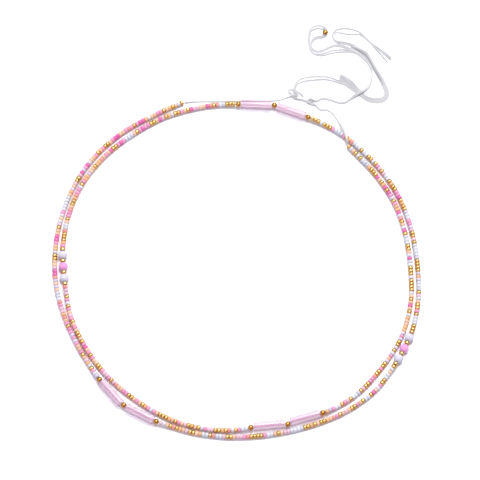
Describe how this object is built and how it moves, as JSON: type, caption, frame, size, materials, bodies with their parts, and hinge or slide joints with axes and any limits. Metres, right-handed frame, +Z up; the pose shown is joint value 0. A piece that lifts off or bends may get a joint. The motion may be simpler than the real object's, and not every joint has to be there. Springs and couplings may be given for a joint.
{
  "type": "beaded waist chain",
  "caption": "Waist chain of glass seed beads with clear glass tube beads, frosted round beads and cotton ties, laid flat in two turns.",
  "frame": {"origin": "on the floor, under the middle of the beaded loop's outline seen from above", "axes": "+Z up from the floor; +Y from the middle of the loop towards the side with the knot; +X to the right when seen from above with +Y up the page"},
  "size_m": [0.1565, 0.1898, 0.0039],
  "materials": {
    "seed_bead_glass": "mixed opaque, pearl and silver-lined seed beads, glossy",
    "clear_pink_glass": "clear, pale pink, polished, flat-cut ends",
    "gold_plated_brass": "polished",
    "silver_lined_amber_glass": "silver-lined, glossy",
    "frosted_opal_glass": "etched, matte, milky",
    "frosted_pink_glass": "etched, matte",
    "white_cotton_thread": "fine twisted thread"
  },
  "bodies": {
    "root": {"seed_run_1": "seed_bead_glass", "seed_run_2": "seed_bead_glass", "seed_run_3": "seed_bead_glass", "seed_run_4": "seed_bead_glass", "seed_run_5": "seed_bead_glass", "seed_run_6": "seed_bead_glass", "glass_tube_1_bottom_left": "clear_pink_glass", "glass_tube_2_bottom_left": "clear_pink_glass", "glass_tube_1_top": "clear_pink_glass", "glass_tube_2_top": "clear_pink_glass", "glass_tube_1_bottom_right": "clear_pink_glass", "glass_tube_2_bottom_right": "clear_pink_glass", "gold_round_1_bottom_left": "gold_plated_brass", "gold_round_2_bottom_left": "gold_plated_brass", "gold_round_3_bottom_left": "gold_plated_brass", "gold_round_1_top": "gold_plated_brass", "gold_round_2_top": "gold_plated_brass", "gold_round_3_top": "gold_plated_brass", "gold_round_1_bottom_right": "gold_plated_brass", "gold_round_2_bottom_right": "gold_plated_brass", "gold_round_3_bottom_right": "gold_plated_brass", "frosted_opal_1_right": "frosted_opal_glass", "frosted_pink_right": "frosted_pink_glass", "frosted_opal_2_right": "frosted_opal_glass", "frosted_opal_1_left": "frosted_opal_glass", "frosted_pink_left": "frosted_pink_glass", "frosted_opal_2_left": "frosted_opal_glass", "gold_spacer_1_right": "silver_lined_amber_glass", "gold_spacer_2_right": "silver_lined_amber_glass", "gold_spacer_3_right": "silver_lined_amber_glass", "gold_spacer_4_right": "silver_lined_amber_glass", "gold_spacer_1_left": "silver_lined_amber_glass", "gold_spacer_2_left": "silver_lined_amber_glass", "gold_spacer_3_left": "silver_lined_amber_glass", "gold_spacer_4_left": "silver_lined_amber_glass", "string_through_bottom_left": "white_cotton_thread", "string_through_top": "white_cotton_thread", "string_through_bottom_right": "white_cotton_thread", "string_through_right": "white_cotton_thread", "string_through_left": "white_cotton_thread", "tie_a_lead": "white_cotton_thread", "tie_a_tail": "white_cotton_thread", "tie_b_lead": "white_cotton_thread", "tie_b_out": "white_cotton_thread", "tie_b_back": "white_cotton_thread", "tie_bow": "white_cotton_thread", "tie_knot": "white_cotton_thread", "gold_end_bead": "gold_plated_brass"}
  },
  "joints": []
}
